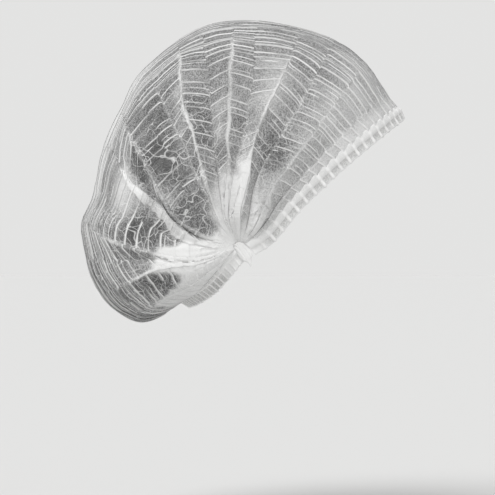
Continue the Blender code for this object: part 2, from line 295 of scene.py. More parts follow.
def to_frame(points):
    """From the opening's plane (u, y, w) to the object's frame, in metres, with the edge let down by EDGE."""
    t = math.radians(RIM_TILT)
    u, y, w = points[..., 0], points[..., 1], points[..., 2]
    low = smooth_through(column(EDGE, EDGE_COLUMNS, "u"), column(EDGE, EDGE_COLUMNS, "low"), u)
    w = w - low * (1 - ease((w - EDGE_FULL) / (EDGE_GONE - EDGE_FULL)))
    x = u * math.cos(t) - w * math.sin(t)
    z = u * math.sin(t) + w * math.cos(t)
    return np.stack([x, y, z], axis=-1) * MM


class Form:
    """The smooth form of one side, from the middle line (across 0) to the weld (across 1), read anywhere."""

    def __init__(self, rows=481, cols=361):
        along = np.linspace(0, 1, rows)
        across = np.linspace(0, 1, cols)
        p = np.empty((rows, cols, 3))
        lift = section(along)["lift"]
        for i, a in enumerate(along):
            d, y, _, reach = arch(a, across)
            root = 180.0 * a
            angle = np.radians(root + (lift[i] - root) * ease((d - EYE_R) / (0.8 * reach)))
            p[i, :, 0] = EAR_U + d * np.cos(angle)
            p[i, :, 1] = y
            p[i, :, 2] = CROWN_W + d * np.sin(angle)
        ds = np.gradient(p, along, axis=0)
        dc = np.gradient(p, across, axis=1)
        n = np.cross(ds, dc)
        n[:, 0, 1] = 0.0
        n /= np.linalg.norm(n, axis=2, keepdims=True)
        middle = np.array([EAR_U + 20.0, 0.0, CROWN_W + 40.0])
        if ((p - middle) * n).sum() < 0:
            n = -n
        self.data = np.concatenate(
            [p, n, np.linalg.norm(ds, axis=2, keepdims=True), np.linalg.norm(dc, axis=2, keepdims=True)], axis=2
        )

    def read(self, along, across):
        """(points, outward normals, mm for a whole share along, mm for a whole share across)."""
        rows, cols = self.data.shape[:2]
        x = np.clip(along, 0, 1) * (rows - 1)
        y = np.clip(across, 0, 1) * (cols - 1)
        i = np.minimum(x.astype(int), rows - 2)
        j = np.minimum(y.astype(int), cols - 2)
        fx, fy = (x - i)[..., None], (y - j)[..., None]
        g = self.data
        out = (
            g[i, j] * (1 - fx) * (1 - fy)
            + g[i + 1, j] * fx * (1 - fy)
            + g[i, j + 1] * (1 - fx) * fy
            + g[i + 1, j + 1] * fx * fy
        )
        n = out[..., 3:6] / np.linalg.norm(out[..., 3:6], axis=-1, keepdims=True)
        return out[..., :3], n, out[..., 6], out[..., 7]


def wander(points, size, seed):
    """Smooth noise about -1 to 1 at each point, with features of about the given size."""
    flat = points.reshape(-1, points.shape[-1]) / size
    off = Vector((seed * 13.7, seed * 5.3, seed * 9.1))
    return np.array([noise.noise(Vector(p) + off) for p in flat]).reshape(points.shape[:-1]) * 1.6


def mesh_object(name, points, faces, values=None):
    mesh = bpy.data.meshes.new(name)
    mesh.vertices.add(len(points))
    mesh.vertices.foreach_set("co", np.asarray(points, np.float32).ravel())
    sizes = np.array([len(f) for f in faces])
    mesh.loops.add(int(sizes.sum()))
    mesh.loops.foreach_set("vertex_index", np.concatenate([np.asarray(f) for f in faces]).astype(np.int32))
    mesh.polygons.add(len(faces))
    mesh.polygons.foreach_set("loop_start", np.append(0, np.cumsum(sizes)[:-1]).astype(np.int32))
    mesh.update(calc_edges=True)
    mesh.validate()
    for key, value in (values or {}).items():
        made = mesh.attributes.new(key, "FLOAT", "POINT")
        made.data.foreach_set("value", np.asarray(value, np.float32).ravel())
    mesh.shade_smooth()
    obj = bpy.data.objects.new(name, mesh)
    bpy.context.scene.collection.objects.link(obj)
    return obj


def grid_faces(rows, cols, flip=False):
    i, j = np.meshgrid(np.arange(rows - 1), np.arange(cols - 1), indexing="ij")
    a = (i * cols + j).ravel()
    quads = np.stack([a, a + 1, a + cols + 1, a + cols], axis=1)
    return quads[:, ::-1] if flip else quads


# ---------------------------------------------------------------------------------------------------------
# The crown's cloth
# ---------------------------------------------------------------------------------------------------------
FORM = Form()


def fold_tables():
    """The fold lines of the right side, and of the left side a little different by chance."""
    right = {n: column(LINES, LINE_COLUMNS, n) for n in LINE_COLUMNS}
    rng = np.random.default_rng(7)
    left = {n: v.copy() for n, v in right.items()}
    inner = slice(1, -1)
    count = len(LINES) - 2
    knots = [n for n in LINE_COLUMNS if n.startswith("c")]
    gap = np.min([np.diff(right[n]) for n in knots], axis=0)
    move = rng.uniform(-1, 1, count) * 0.3 * np.minimum(gap[:-1], gap[1:])
    for n in knots:
        left[n][inner] += move
    for n, low, top in (
        ("high", 0.75, 1.2), ("shift", 0.7, 1.2), ("jump", -1.2, 1.2), ("lap_near", 0.7, 1.1), ("lap_far", 0.6, 1.3)
    ):
        left[n][inner] *= rng.uniform(low, top, count)
    left["far"][inner] += rng.uniform(-0.08, 0.06, count)
    return right, left


def pleat_columns():
    """For each column from the right weld to the left: rank (pleats from the middle line), side, tuck, layer."""
    x, tuck, layer = (column(PLEAT, PLEAT_COLUMNS, n) for n in PLEAT_COLUMNS)
    one = [(0.0, 0.0, 0.0)]
    one += [(x[i], 0.0, layer[i]) for i in range(4, len(x))]
    for k in range(1, PLEATS_A_SIDE):
        one += [(k + x[i], tuck[i], layer[i]) for i in range(len(x))]
    one.append((float(PLEATS_A_SIDE), 0.0, 0.0))
    one = np.array(one)
    both = np.concatenate([one[:0:-1], one])
    side = np.concatenate([np.zeros(len(one) - 1, int), np.ones(len(one), int)])
    return both[:, 0], side, both[:, 1], both[:, 2]


def fold_rows():
    """For each row: sector, share of the way through it, fold line (-1: none), and place and layer in that fold."""
    way = column(LINES, LINE_COLUMNS, "way")
    at = column(LINES, LINE_COLUMNS, "c50")
    place, layer = (column(FOLD_ROWS, FOLD_COLUMNS, n) for n in FOLD_COLUMNS)
    rows = []
    for k in range(len(at) - 1):
        n = max(5, int(round(ROWS * (at[k + 1] - at[k]))))
        q = np.arange(n + 1) / n
        q = 0.5 * q + 0.5 * (0.5 - 0.5 * np.cos(math.pi * q))
        folded = way[k + 1] != 0 or k == len(at) - 2
        rows += [(k, v, -1, 0.0, 0.0, 0.0) for v in (q if folded else q[:-1])]
        if way[k + 1] != 0:
            done = np.linspace(0, 1, len(place) + 2)[1:-1]
            rows += [(k, 1.0, k + 1, p, v, d) for p, v, d in zip(place, layer, done)]
    return [np.array(v) for v in zip(*rows)]


def crown_cloth():
    rank, side, tuck, layer = pleat_columns()
    sector, q, fold, fold_place, fold_layer, fold_done = fold_rows()
    sector, fold = sector.astype(int), fold.astype(int)
    cols, rows, lines_count = len(rank), len(sector), len(LINES)
    sign = np.where(side == 0, -1.0, 1.0)
    c = 1 - rank / PLEATS_A_SIDE
    nearest = np.rint(rank).astype(int)
    f = rank - nearest
    tables = fold_tables()

    def lines(name):
        return np.stack([tables[s][name] for s in side], axis=1)  # [line, column]

    # where each fold line is at each column
    knots = [n for n in LINE_COLUMNS if n.startswith("c")]
    place = np.empty((lines_count, cols))
    wobble = np.random.default_rng(5).uniform(0, 50, lines_count * 2)
    for j in range(cols):
        table = tables[side[j]]
        for k in range(lines_count):
            ys = np.array([table[n][k] for n in knots])
            place[k, j] = smooth_through(np.array(UP_KNOTS), ys, np.array([min(c[j], 0.70)]))[0]
            if 0 < k < lines_count - 1:
                shake = noise.noise(Vector((c[j] * 15.0, wobble[k + side[j] * lines_count], 0.0)))
                fine = noise.noise(Vector((c[j] * 52.0, wobble[k + side[j] * lines_count], 3.0)))
                place[k, j] += (0.0042 * shake + 0.0026 * fine) * min(1.0, c[j] / 0.2)
    nominal = tables[0]["c70"]
    fade = ease((c - 0.55) / 0.35)
    place = place * (1 - fade) + nominal[:, None] * fade
    place = np.maximum.accumulate(place + np.arange(lines_count)[:, None] * 1e-5, axis=0)
    place[-1] = 1.0

    across0 = np.broadcast_to(1 - c, place.shape)
    _, _, scale, _ = FORM.read(np.clip(place, 0, 1), across0)
    far = lines("far")
    gone = 1 - ease((c - 0.55 * far) / (0.45 * far))
    near_weld = 1 - ease((c - 0.15) / 0.17)
    way = lines("way")
    lap = lines("lap_far") * gone * (1 - near_weld) + lines("lap_near") * near_weld
    ragged_at = np.stack(
        [np.broadcast_to(c * 19.0, lap.shape), np.arange(lines_count)[:, None] * 4.3 + side * 60.0 + 0 * lap, 0 * lap], axis=-1
    )
    lap = lap * np.clip(1 + 0.35 * wander(ragged_at, 1.0, 12) + 0.40 * wander(ragged_at, 0.35, 13), 0.4, 1.6)
    gaps = np.diff(place, axis=0) * 0.5 * (scale[1:] + scale[:-1])
    for k in range(1, lines_count - 1):
        room = gaps[k] if way[k, 0] < 0 else gaps[k - 1]
        other = k + 1 if way[k, 0] < 0 else k - 1
        share = 0.42 if way[other, 0] * way[k, 0] < 0 else 0.84
        lap[k] = np.minimum(lap[k], share * room)
    lap = np.maximum(lap, 0.04)
    lap_share = lap / np.maximum(scale, 1.0)
    thick = LAYER * np.clip(lap / 1.2, 0.02, 1.0)
    start = place + np.where(way < 0, lap_share, 0.0)
    stop = place - np.where(way > 0, lap_share, 0.0)

    # rows
    qc = q[:, None]
    along = start[sector] * (1 - qc) + stop[sector + 1] * qc
    lift = -way[sector] * thick[sector] * (1 - qc) + way[sector + 1] * thick[sector + 1] * qc
    shift_k, jump_k = lines("shift"), lines("jump")
    shift = (shift_k + 0.5 * jump_k)[sector] * (1 - qc) + (shift_k - 0.5 * jump_k)[sector + 1] * qc
    for i in np.nonzero(fold >= 0)[0]:
        k = fold[i]
        round_off = fold_place[i]
        if round_off in (0.88, 0.12):  # within 0.3 mm of the fold's edge where the fold is wide
            edge_share = np.minimum(0.12, 0.3 / lap[k])
            round_off = 1 - edge_share if round_off > 0.5 else edge_share
        along[i] = place[k] + (round_off - (way[k] > 0)) * lap_share[k]
        lift[i] = way[k] * fold_layer[i] * thick[k]
        shift[i] = shift_k[k] + jump_k[k] * (fold_done[i] - 0.5)
    along = np.clip(along, 0, 1)
    inside = np.where(fold[:, None] >= 0, 0.0, ease(np.minimum(qc, 1 - qc) / 0.1))

    # pleats: creases run as chords between the fold lines, which hold them off their place
    rng = np.random.default_rng(11)
    cells = (2, lines_count - 1, PLEATS_A_SIDE + 2)
    jitter = rng.normal(0, 0.0045, cells)
    strength = np.clip(rng.normal(0.82, 0.34, cells), 0.05, 1.25)
    puff = rng.uniform(-0.25, 0.6, cells)
    tilt = rng.normal(0, 0.4, cells)
    low = np.floor(rank + 1e-9).astype(int)
    part = np.clip(rank - low, 0, 1)

    def per_cell(values, which):
        return values[side, :, which].T[sector]

    rim = np.maximum(1 - ease((along - 0.004) / 0.035), 1 - ease((1 - along - 0.004) / 0.045))
    edge = ease(along / 0.05) * ease((1 - along) / 0.04)
    near = ease((c - 0.015) / 0.09)
    reach_up = ease(c / 0.2) * (1 - ease((c - 0.6) / 0.3))
    amount = ease(c / 0.15) * (1 - ease((c - 0.72) / 0.2)) * edge
    move = per_cell(jitter, low) * (1 - part) + per_cell(jitter, low + 1) * part
    up = c + shift * reach_up + move * inside * amount
    strong = per_cell(strength, nearest)
    strong = strong + (0.85 - strong) * (1 - inside * (1 - rim))
    over_ear = (1 - ease((along - 0.19) / 0.05)) * (1 - ease((c - 0.24) / 0.1)) * (1 - rim)
    strong = strong * (1 - 0.5 * over_ear)
    crushed = ease((along - 0.42) / 0.08) * (1 - ease((along - 0.66) / 0.05)) * (1 - ease((c - 0.38) / 0.2))
    strong = strong * (1 - 0.45 * crushed)
    streak = np.stack([along * 26.0, np.broadcast_to(nearest * 3.7 + side * 90.0, along.shape), along * 0], axis=-1)
    strong = np.clip(strong * (1 + 0.55 * wander(streak, 1.0, 6) * (1 - rim)), 0.03, 1.25)

    # the gathered mass near the weld
    first, _, mm_along, mm_across = FORM.read(along, np.clip(1 - up, 0, 1))
    shown_up = np.interp(along, column(MASS, MASS_COLUMNS, "along"), column(MASS, MASS_COLUMNS, "up"))
    dense = np.interp(along, column(MASS, MASS_COLUMNS, "along"), column(MASS, MASS_COLUMNS, "dense"))
    ragged = wander(first, 9.0, 3) * 0.022
    soft = np.where(along < 0.5, 0.10, 0.05)
    mass = 1 - ease((c - shown_up - ragged) / soft + 0.5)
    mass = mass * (along >= place[MASS_LINE] - 1e-6)

    run = np.array([arch(a, [0.0])[2] for a in np.linspace(0, 1, 101)])
    pitch = np.interp(along, np.linspace(0, 1, 101), run) / PLEATS_A_SIDE
    tuck_wide = np.clip(0.5 * (PLEAT_CLOTH - pitch), 0.7, 0.42 * pitch)
    tuck_wide = tuck_wide * (0.5 + 0.5 * np.minimum(strong, 1.1)) * (1 - 0.7 * mass) + 0.02
    half_tuck = np.maximum(0.5 * tuck_wide * tuck, -0.5 * tuck_wide) / (pitch * PLEATS_A_SIDE)
    up = up - half_tuck
    across = np.clip(1 - up, 0, 1)
    points, normal, mm_along, _ = FORM.read(along, across)
    points[..., 1] *= sign
    normal[..., 1] *= sign

    # fold lines stand above the form or dip under it, with flat panels between them
    wide = np.diff(place, axis=0)
    room = np.minimum(np.concatenate([wide[:1], wide]), np.concatenate([wide, wide[-1:]])) * scale
    high = lines("high")
    tall = np.sign(high) * np.minimum(np.abs(high), 0.40 * room) * gone * near
    height = np.stack([np.interp(along[:, j], place[:, j], tall[:, j]) for j in range(cols)], axis=1) * edge
    height *= 1 - 0.85 * mass
    spoke = np.zeros_like(along)
    glow = np.zeros_like(along)
    white = lines("white")
    for k in range(1, lines_count - 1):
        if way[k, 0] == 0:
            continue
        centre = place[k] - 0.5 * way[k] * lap_share[k]
        away = np.maximum(np.abs(along - centre) * mm_along - 0.5 * lap[k], 0.0)
        shape = np.exp(-((away / 0.38) ** 1.5))
        some = np.minimum(1.0, lap[k] / 0.8) * np.clip(room[k] / 4.0, 0, 1)
        height += 0.25 * white[k] * shape * some * edge * near
        uneven_white = np.clip(0.80 + 0.45 * wander(np.stack([c * 11.0, c * 0 + k * 3.1, side * 9.0], axis=1), 1.0, 9), 0.3, 1.1)
        spoke = np.maximum(spoke, white[k] * uneven_white * shape * np.minimum(1.0, lap[k] / 0.6) * ease(c / 0.06))
        glow += white[k] * np.exp(-((away / 5.0) ** 2)) * gone[k] * (0.30 - 0.10 * way[k, 0] * np.sign(along - centre))

    # white at the tuck's outer folded edge, less across its layers
    at_crease = np.abs(f) < 1e-9
    profile = np.where(at_crease, np.where(layer == 1.0, 0.30, 1.0), np.where(np.abs(f - 0.055) < 1e-9, 0.20, 0.0))
    top = ease((c - 0.45) / 0.35)
    ridge = (0.10 + 0.25 * top + 0.35 * rim * (1 - 0.8 * ease((rim - 0.55) / 0.3))) * strong * at_crease * (1 - 0.8 * mass)
    zigzag = (1 - 2 * np.abs(f)) * np.where(nearest % 2 == 0, 1, -1)
    wave = (0.30 + 0.75 * top) * zigzag * (1 - rim) * ease(c / 0.2) * (1 - mass)
    between = np.sin(math.pi * part)
    run_through = np.sin(math.pi * qc) * np.where(fold[:, None] >= 0, 0.0, 1.0)
    billow = per_cell(puff, low) * between * run_through * ease(c / 0.2) * edge
    slope = per_cell(tilt, low) * (part - 0.5) * 1.5 * between * run_through * edge * ease(c / 0.2)
    layered = TUCK_LAYER * layer * np.clip(tuck_wide / 0.8, 0.05, 1.0)

    # chance unevenness, and fine wrinkles that run out from the weld
    uneven = wander(first * [1, 1, 1] + np.stack([np.zeros(cols), side * 400.0, np.zeros(cols)], axis=-1), 70.0, 1) * 1.1
    uneven += wander(first + np.stack([np.zeros(cols), side * 400.0, np.zeros(cols)], axis=-1), 24.0, 2) * 0.45
    uneven *= ease(rank / 1.5)
    rays = np.stack(
        [along * 62.0, np.broadcast_to(c * 5.0, along.shape), np.broadcast_to(side * 7.0, along.shape)], axis=-1
    )
    wrinkle = wander(rays, 1.0, 4) * 0.5 * (1 - ease((c - 0.10) / 0.35)) * near * (1 - 0.35 * mass)
    crumple = wander(first + np.stack([np.zeros(cols), side * 400.0, np.zeros(cols)], axis=-1), 7.0, 5) * 0.22
    crumple = crumple * (1 - 0.6 * mass) * ease(rank / 1.5)
    height = height + ridge + wave + billow + slope + layered + lift * (1 - 0.6 * mass) * near * ease(along / 0.02)
    height = height + (uneven + crumple) * edge * ease(c / 0.15) + wrinkle * edge + 0.7 * mass * near * edge
    height = height - OUTLINE_IN * ease(c / 0.35) * edge
    middle = rank == 0
    normal[:, middle, 1] = 0.0
    points = points + normal * height[..., None]
    points[:, middle, 1] = 0.0

    crease = np.clip(1.22 * strong * (1 - 0.5 * mass), 0, 1)
    crackle = np.clip((1.1 - ease((c - 0.36) / 0.34)) + 0.9 * ease((along - 0.66) / 0.10) * (1 - ease((c - 0.75) / 0.3)), 0, 1.1)
    crackle = crackle * (1 - 0.1 * over_ear) * (1 - 0.6 * rim)
    front_lines = 0.5 * ease((0.24 - along) / 0.10) * ease((c - 0.30) / 0.20)
    first_line = 0.56 - 0.16 * ease((along - 0.68) / 0.06)
    outer = ease((c - first_line) / 0.18) * (1 - 0.5 * ease((0.30 - along) / 0.12))
    outer = np.maximum(outer, front_lines) * ease(along / 0.012)
    # haze: lighter near the hems and beside each fold's layers, plus the table's patches, partly double cloth and
    # partly painted highlight and painted light; held lower at the back
    haze = 0.38 * rim + 0.45 * glow
    for at, share, long, wide, amount in HAZE_AND_PAINTED_LIGHT:
        haze = haze + amount * np.exp(-(((along - at) / long) ** 2) - ((c - share) / wide) ** 2)
    behind = ease((c - 0.84) / 0.12) * ease((along - 0.42) / 0.10)
    haze = np.clip(haze, -0.6, 0.92 - 0.42 * behind)

    def tucked(row):
        """A row that runs down into the hem."""
        row = row.copy()
        row[:, 2] = CROWN_W - 2.6
        away = row[:, :2] - [EAR_U, 0.0]
        away /= np.maximum(np.linalg.norm(away, axis=1, keepdims=True), 1e-6)
        row[:, :2] -= away * 1.5
        return row

    points = np.concatenate([tucked(points[0])[None], points, tucked(points[-1])[None]])
    grow = lambda v: np.concatenate([v[:1], v, v[-1:]])
    spread = np.ones((rows, 1))
    values = {
        "crease": grow(crease),
        "fold": grow(spread * profile),
        "outer": grow(outer),
        "spoke": grow(spoke),
        "mass": grow(mass * dense),
        "rank": grow(spread * (rank + 50.0 * side)),
        "sector": grow(spread * 0 + (sector[:, None] + qc) * np.ones((1, cols))),
        "veil": grow(over_ear),
        "crackle": grow(crackle),
        # haze carries the lighter patches, partly double cloth and partly painted light
        "haze": grow(haze),
        "open": grow(edge * ease(c / 0.12)),
    }
    faces = grid_faces(points.shape[0], cols)
    obj = mesh_object("crown_cloth", to_frame(points).reshape(-1, 3), faces, values)
    # each tuck's two folded edges are sharp
    folded = np.zeros(cols, bool)
    tucks = np.abs(f) < 1e-9
    folded[tucks & (np.abs(layer) == 0.6)] = True
    ends = np.empty(len(obj.data.edges) * 2, np.int32)
    obj.data.edges.foreach_get("vertices", ends)
    ends = ends.reshape(-1, 2) % cols
    sharp = (ends[:, 0] == ends[:, 1]) & folded[ends[:, 0]]
    made = obj.data.attributes.new("sharp_edge", "BOOLEAN", "EDGE")
    made.data.foreach_set("value", sharp)
    return obj


# ---------------------------------------------------------------------------------------------------------
# Hems, welds
# ---------------------------------------------------------------------------------------------------------
# The hem's section, from the fold at the bottom up the outer face and down the inner one. rib: how much further
# out a rib stands. thin: how thin the cloth is between ribs (1 the thinnest).
HEM_PHASES = (0.0, 0.05, 0.11, 0.18, 0.34, 0.50, 0.66, 0.82, 0.89, 0.95)
HEM_COLUMNS = ("out", "up", "rib", "thin")
HEM = (
    (-1.60, -0.50, 0.0, 0.2),
    (-0.95, -0.20, 0.3, 0.2),
    (-0.90, 0.50, 0.6, 0.9),
    (-1.05, 2.60, 0.7, 1.0),
    (-0.95, 5.20, 0.6, 0.9),
    (-0.35, 5.80, 0.3, 0.35),
    (0.25, 6.60, 0.0, 0.50),
    (0.40, 8.80, 0.0, 0.58),
    (0.42, 10.80, 0.0, 0.52),
    (0.40, 11.60, 0.0, 0.4),
    (-0.30, 11.85, 0.0, 0.2),
    (-2.20, 10.90, -0.1, 0.3),
    (-2.75, 8.80, -0.1, 0.1),
    (-2.80, 6.20, -0.1, 0.1),
    (-2.50, 4.60, -0.3, 0.6),
    (-2.35, 2.20, -0.4, 0.9),
    (-2.20, 0.30, -0.2, 0.4),
)
TIP_OUT = 2.6
NAPE_RISE = 1.9  # how much higher the ribbed part of the nape hem reaches


def hem_columns():
    """(t of each column from the right weld, -1, to the left, 1; nearest crease; distance from it in pleats)."""
    places = [k + p for k in range(2 * PLEATS_A_SIDE) for p in HEM_PHASES] + [2 * PLEATS_A_SIDE]
    x = np.array(places) - PLEATS_A_SIDE
    nearest = np.rint(x).astype(int)
    return x / PLEATS_A_SIDE, nearest, x - nearest


def hem_cloth(name, along, end_gap):
    t, pleat, f = hem_columns()
    _, _, run, _ = arch(along, [0.0])
    last = 1 - end_gap / run
    # more columns than the crown: each rib is drawn in and out over its whole pitch
    t = np.clip(t, -last, last)
    keep = np.append(True, np.diff(t) > 1e-6)
    t, pleat, f = t[keep], pleat[keep], f[keep]
    d, y, _, _ = arch(along, np.abs(t))
    sign = 1.0 if along == 0.0 else -1.0
    line = np.stack([EAR_U + sign * d, np.where(t < 0, -y, y)], axis=1)
    tangent = np.gradient(line, axis=0)
    tangent /= np.linalg.norm(tangent, axis=1, keepdims=True)
    outward = np.stack([tangent[:, 1], -tangent[:, 0]], axis=1)
    if ((line - [EAR_U, 0]) * outward).sum() < 0:
        outward = -outward
    middle = np.cos(t / last * math.pi / 2).clip(0, 1) ** 0.5
    flare = FRONT_FLARE * np.ones(len(t)) if along == 0.0 else FRONT_FLARE + (NAPE_FLARE - FRONT_FLARE) * middle
    rib = np.interp(np.abs(f), (0, 0.05, 0.11, 0.18, 0.5), (1, 0.9, 0.45, 0.0, 0))
    rng = np.random.default_rng(21 if along == 0.0 else 22)
    vary = rng.uniform(0.6, 1.25, 2 * PLEATS_A_SIDE + 1)[pleat + PLEATS_A_SIDE]
    rib = rib * vary * (0.4 + 0.6 * ease((1 - np.abs(t)) / 0.12))
    out, up, proud, thin = (column(HEM, HEM_COLUMNS, n) for n in HEM_COLUMNS)
    drop = rng.uniform(0.3, 1.1, 2 * PLEATS_A_SIDE + 1)[pleat + PLEATS_A_SIDE]
    if along == 1.0:
        up = up + NAPE_RISE * ease((up - 1.0) / 4.0) * (1 - ease((up - 5.6) / 4.0))
    points = np.empty((len(t), len(HEM), 3))
    lean = flare[:, None] * (up[None, :] / HEM_HEIGHT - 1.0)
    o = out[None, :] + proud[None, :] * rib[:, None] - HEM_IN + lean
    if along == 0.0:  # over the forehead the casing stands out a little
        puffed = np.clip((out + 2.2) / 1.2, 0, 1) * ease((up + 1.5) / 3.0) * (1 - ease((up - 8.0) / 3.0))
        o = o + TIP_OUT * (1 - ease(np.abs(t) / 0.16))[:, None] * puffed[None, :]
    low = (1 - ease(up / 3.0))[None, :] * (rib * drop - 0.35)[:, None]
    points[..., 0] = line[:, 0, None] + outward[:, 0, None] * o
    points[..., 1] = line[:, 1, None] + outward[:, 1, None] * o
    points[..., 2] = up[None, :] - low
    points[..., 2] += (wander(np.stack([t * 20, t * 0, t * 0], axis=1), 1.0, 8) * 0.25)[:, None]
    sheer = thin[None, :] * (1 - np.clip(rib, 0, 1))[:, None] * (1.0 if along == 0.0 else 1.0)
    bunched = ease((last - np.abs(t)) / 0.10) if along == 0.0 else ease((0.88 - np.abs(t)) / 0.12)
    sheer = sheer * (0.15 + 0.85 * bunched)[:, None]
    n, m = points.shape[:2]
    i, j = np.meshgrid(np.arange(n - 1), np.arange(m), indexing="ij")
    k = (j + 1) % m
    quads = np.stack([i * m + j, i * m + k, (i + 1) * m + k, (i + 1) * m + j], axis=-1).reshape(-1, 4)
    faces = [q for q in (quads if sign > 0 else quads[:, ::-1])]
    values = {"crease": 1 - sheer, "spoke": np.zeros_like(sheer), "mass": (1 - sheer) * 0.9}
    return mesh_object(name, to_frame(points).reshape(-1, 3), faces, values)


WELD_COLUMNS = ("w", "back", "half", "thick", "out")
WELD = (
    (16.0, 0.0, 0.9, 0.4, 0.2),
    (15.3, 0.0, 2.4, 1.1, 0.2),
    (14.2, 0.0, 3.7, 1.9, 0.1),
    (12.6, 0.0, 4.6, 2.4, 0.0),
    (10.6, 0.0, 5.0, 2.6, 0.0),
    (8.0, 0.1, 5.0, 2.6, 0.0),
    (4.5, 0.4, 4.8, 2.5, 0.0),
    (1.5, 0.7, 4.3, 2.3, 0.0),
    (0.0, 1.0, 3.7, 2.0, 0.0),
    (-0.8, 1.3, 2.8, 1.8, 0.0),
    (-1.6, 1.5, 2.1, 1.6, 0.0),
    (-3.4, 2.0, 1.3, 1.3, 0.0),
    (-5.0, 2.6, 0.75, 1.0, 0.0),
    (-6.2, 3.2, 0.30, 0.6, 0.0),
)


def ear_weld(name, side):
    """The pressed bunch of pleat ends, thin at its edges, where it runs into the cloth, and its pointed tail."""
    at = column(WELD, WELD_COLUMNS, "w")
    w = np.linspace(at[0], at[-1], 110)
    back, half, thick, out = (
        smooth_through(-at, column(WELD, WELD_COLUMNS, n), -w) for n in WELD_COLUMNS[1:]
    )
    half, thick = np.maximum(half, 0.2), np.maximum(thick, 0.3)
    around = 96
    a = np.linspace(0, 2 * math.pi, around, endpoint=False)
    rows = []
    for k in range(len(w)):
        x = np.cos(a)
        y = np.sign(np.sin(a)) * np.abs(np.sin(a)) ** 0.9
        # creases run out from the middle above it, and down to the tail below it
        from_middle = np.hypot(x * half[k], max(w[k] - CROWN_W, 0.0))
        turn = np.arctan2(x * half[k], max(w[k] - CROWN_W, 0.0) + 2.4)
        ridge = 0.16 * np.cos(15.0 * turn + 0.9 * np.sin(4.0 * turn)) * np.clip(from_middle / 2.5, 0.15, 1.0) * min(1.0, half[k] / 2.5)
        fine = 0.05 * np.cos(x * half[k] * 7.3 + 1.9 * math.sin(w[k] * 0.3))
        rows.append(
            np.stack(
                [
                    EAR_U - back[k] + half[k] * x,
                    side * (EAR_Y - 1.3 + out[k] + (thick[k] / 2) * y + (ridge + fine) * np.clip(np.abs(y) * 2, 0, 1) * np.sign(y)),
                    np.full(around, w[k]),
                ],
                axis=1,
            )
        )
    points = np.concatenate(rows)
    n = len(w)
    i, j = np.meshgrid(np.arange(n - 1), np.arange(around), indexing="ij")
    k = (j + 1) % around
    quads = np.stack([i * around + j, i * around + k, (i + 1) * around + k, (i + 1) * around + j], axis=-1)
    faces = [q for q in quads.reshape(-1, 4)]
    faces.append(np.arange(around)[::-1])
    faces.append(np.arange(around) + (n - 1) * around)
    if side < 0:
        faces = [f[::-1] for f in faces]
    values = {k: np.ones(len(points)) * v for k, v in (("crease", 1.0), ("spoke", 1.0), ("mass", 1.0))}
    return mesh_object(name, to_frame(points), faces, values)


# ---------------------------------------------------------------------------------------------------------
# Materials
# ---------------------------------------------------------------------------------------------------------
class Nodes:
    def __init__(self, name):
        self.material = bpy.data.materials.new(name)
        self.material.use_nodes = True
        self.tree = self.material.node_tree
        self.tree.nodes.clear()

    def add(self, kind, **settings):
        node = self.tree.nodes.new(kind)
        for key, value in settings.items():
            if key.startswith("in_"):
                node.inputs[key[3:].replace("_", " ")].default_value = value
            else:
                setattr(node, key, value)
        return node

    def link(self, a, b):
        self.tree.links.new(a, b)

    def math(self, operation, a, b=None, clamp=False):
        node = self.add("ShaderNodeMath", operation=operation, use_clamp=clamp)
        for socket, value in zip(node.inputs, (a, b)):
            if value is None:
                continue
            if isinstance(value, (int, float)):
                socket.default_value = value
            else:
                self.link(value, socket)
        return node.outputs[0]

    def attribute(self, name):
        return self.add("ShaderNodeAttribute", attribute_name=name).outputs["Fac"]

    def ramp(self, value, low, high, out_low=0.0, out_high=1.0):
        node = self.add("ShaderNodeMapRange", clamp=True)
        self.link(value, node.inputs["Value"])
        for key, v in (("From Min", low), ("From Max", high), ("To Min", out_low), ("To Max", out_high)):
            node.inputs[key].default_value = v
        return node.outputs[0]

    def mix(self, factor, a, b):
        node = self.add("ShaderNodeMix", data_type="RGBA")
        self.link(factor, node.inputs[0]) if not isinstance(factor, (int, float)) else setattr(
            node.inputs[0], "default_value", factor
        )
        for socket, value in ((node.inputs[6], a), (node.inputs[7], b)):
            if isinstance(value, tuple):
                socket.default_value = (*value, 1.0)
            else:
                self.link(value, socket)
        return node.outputs[2]


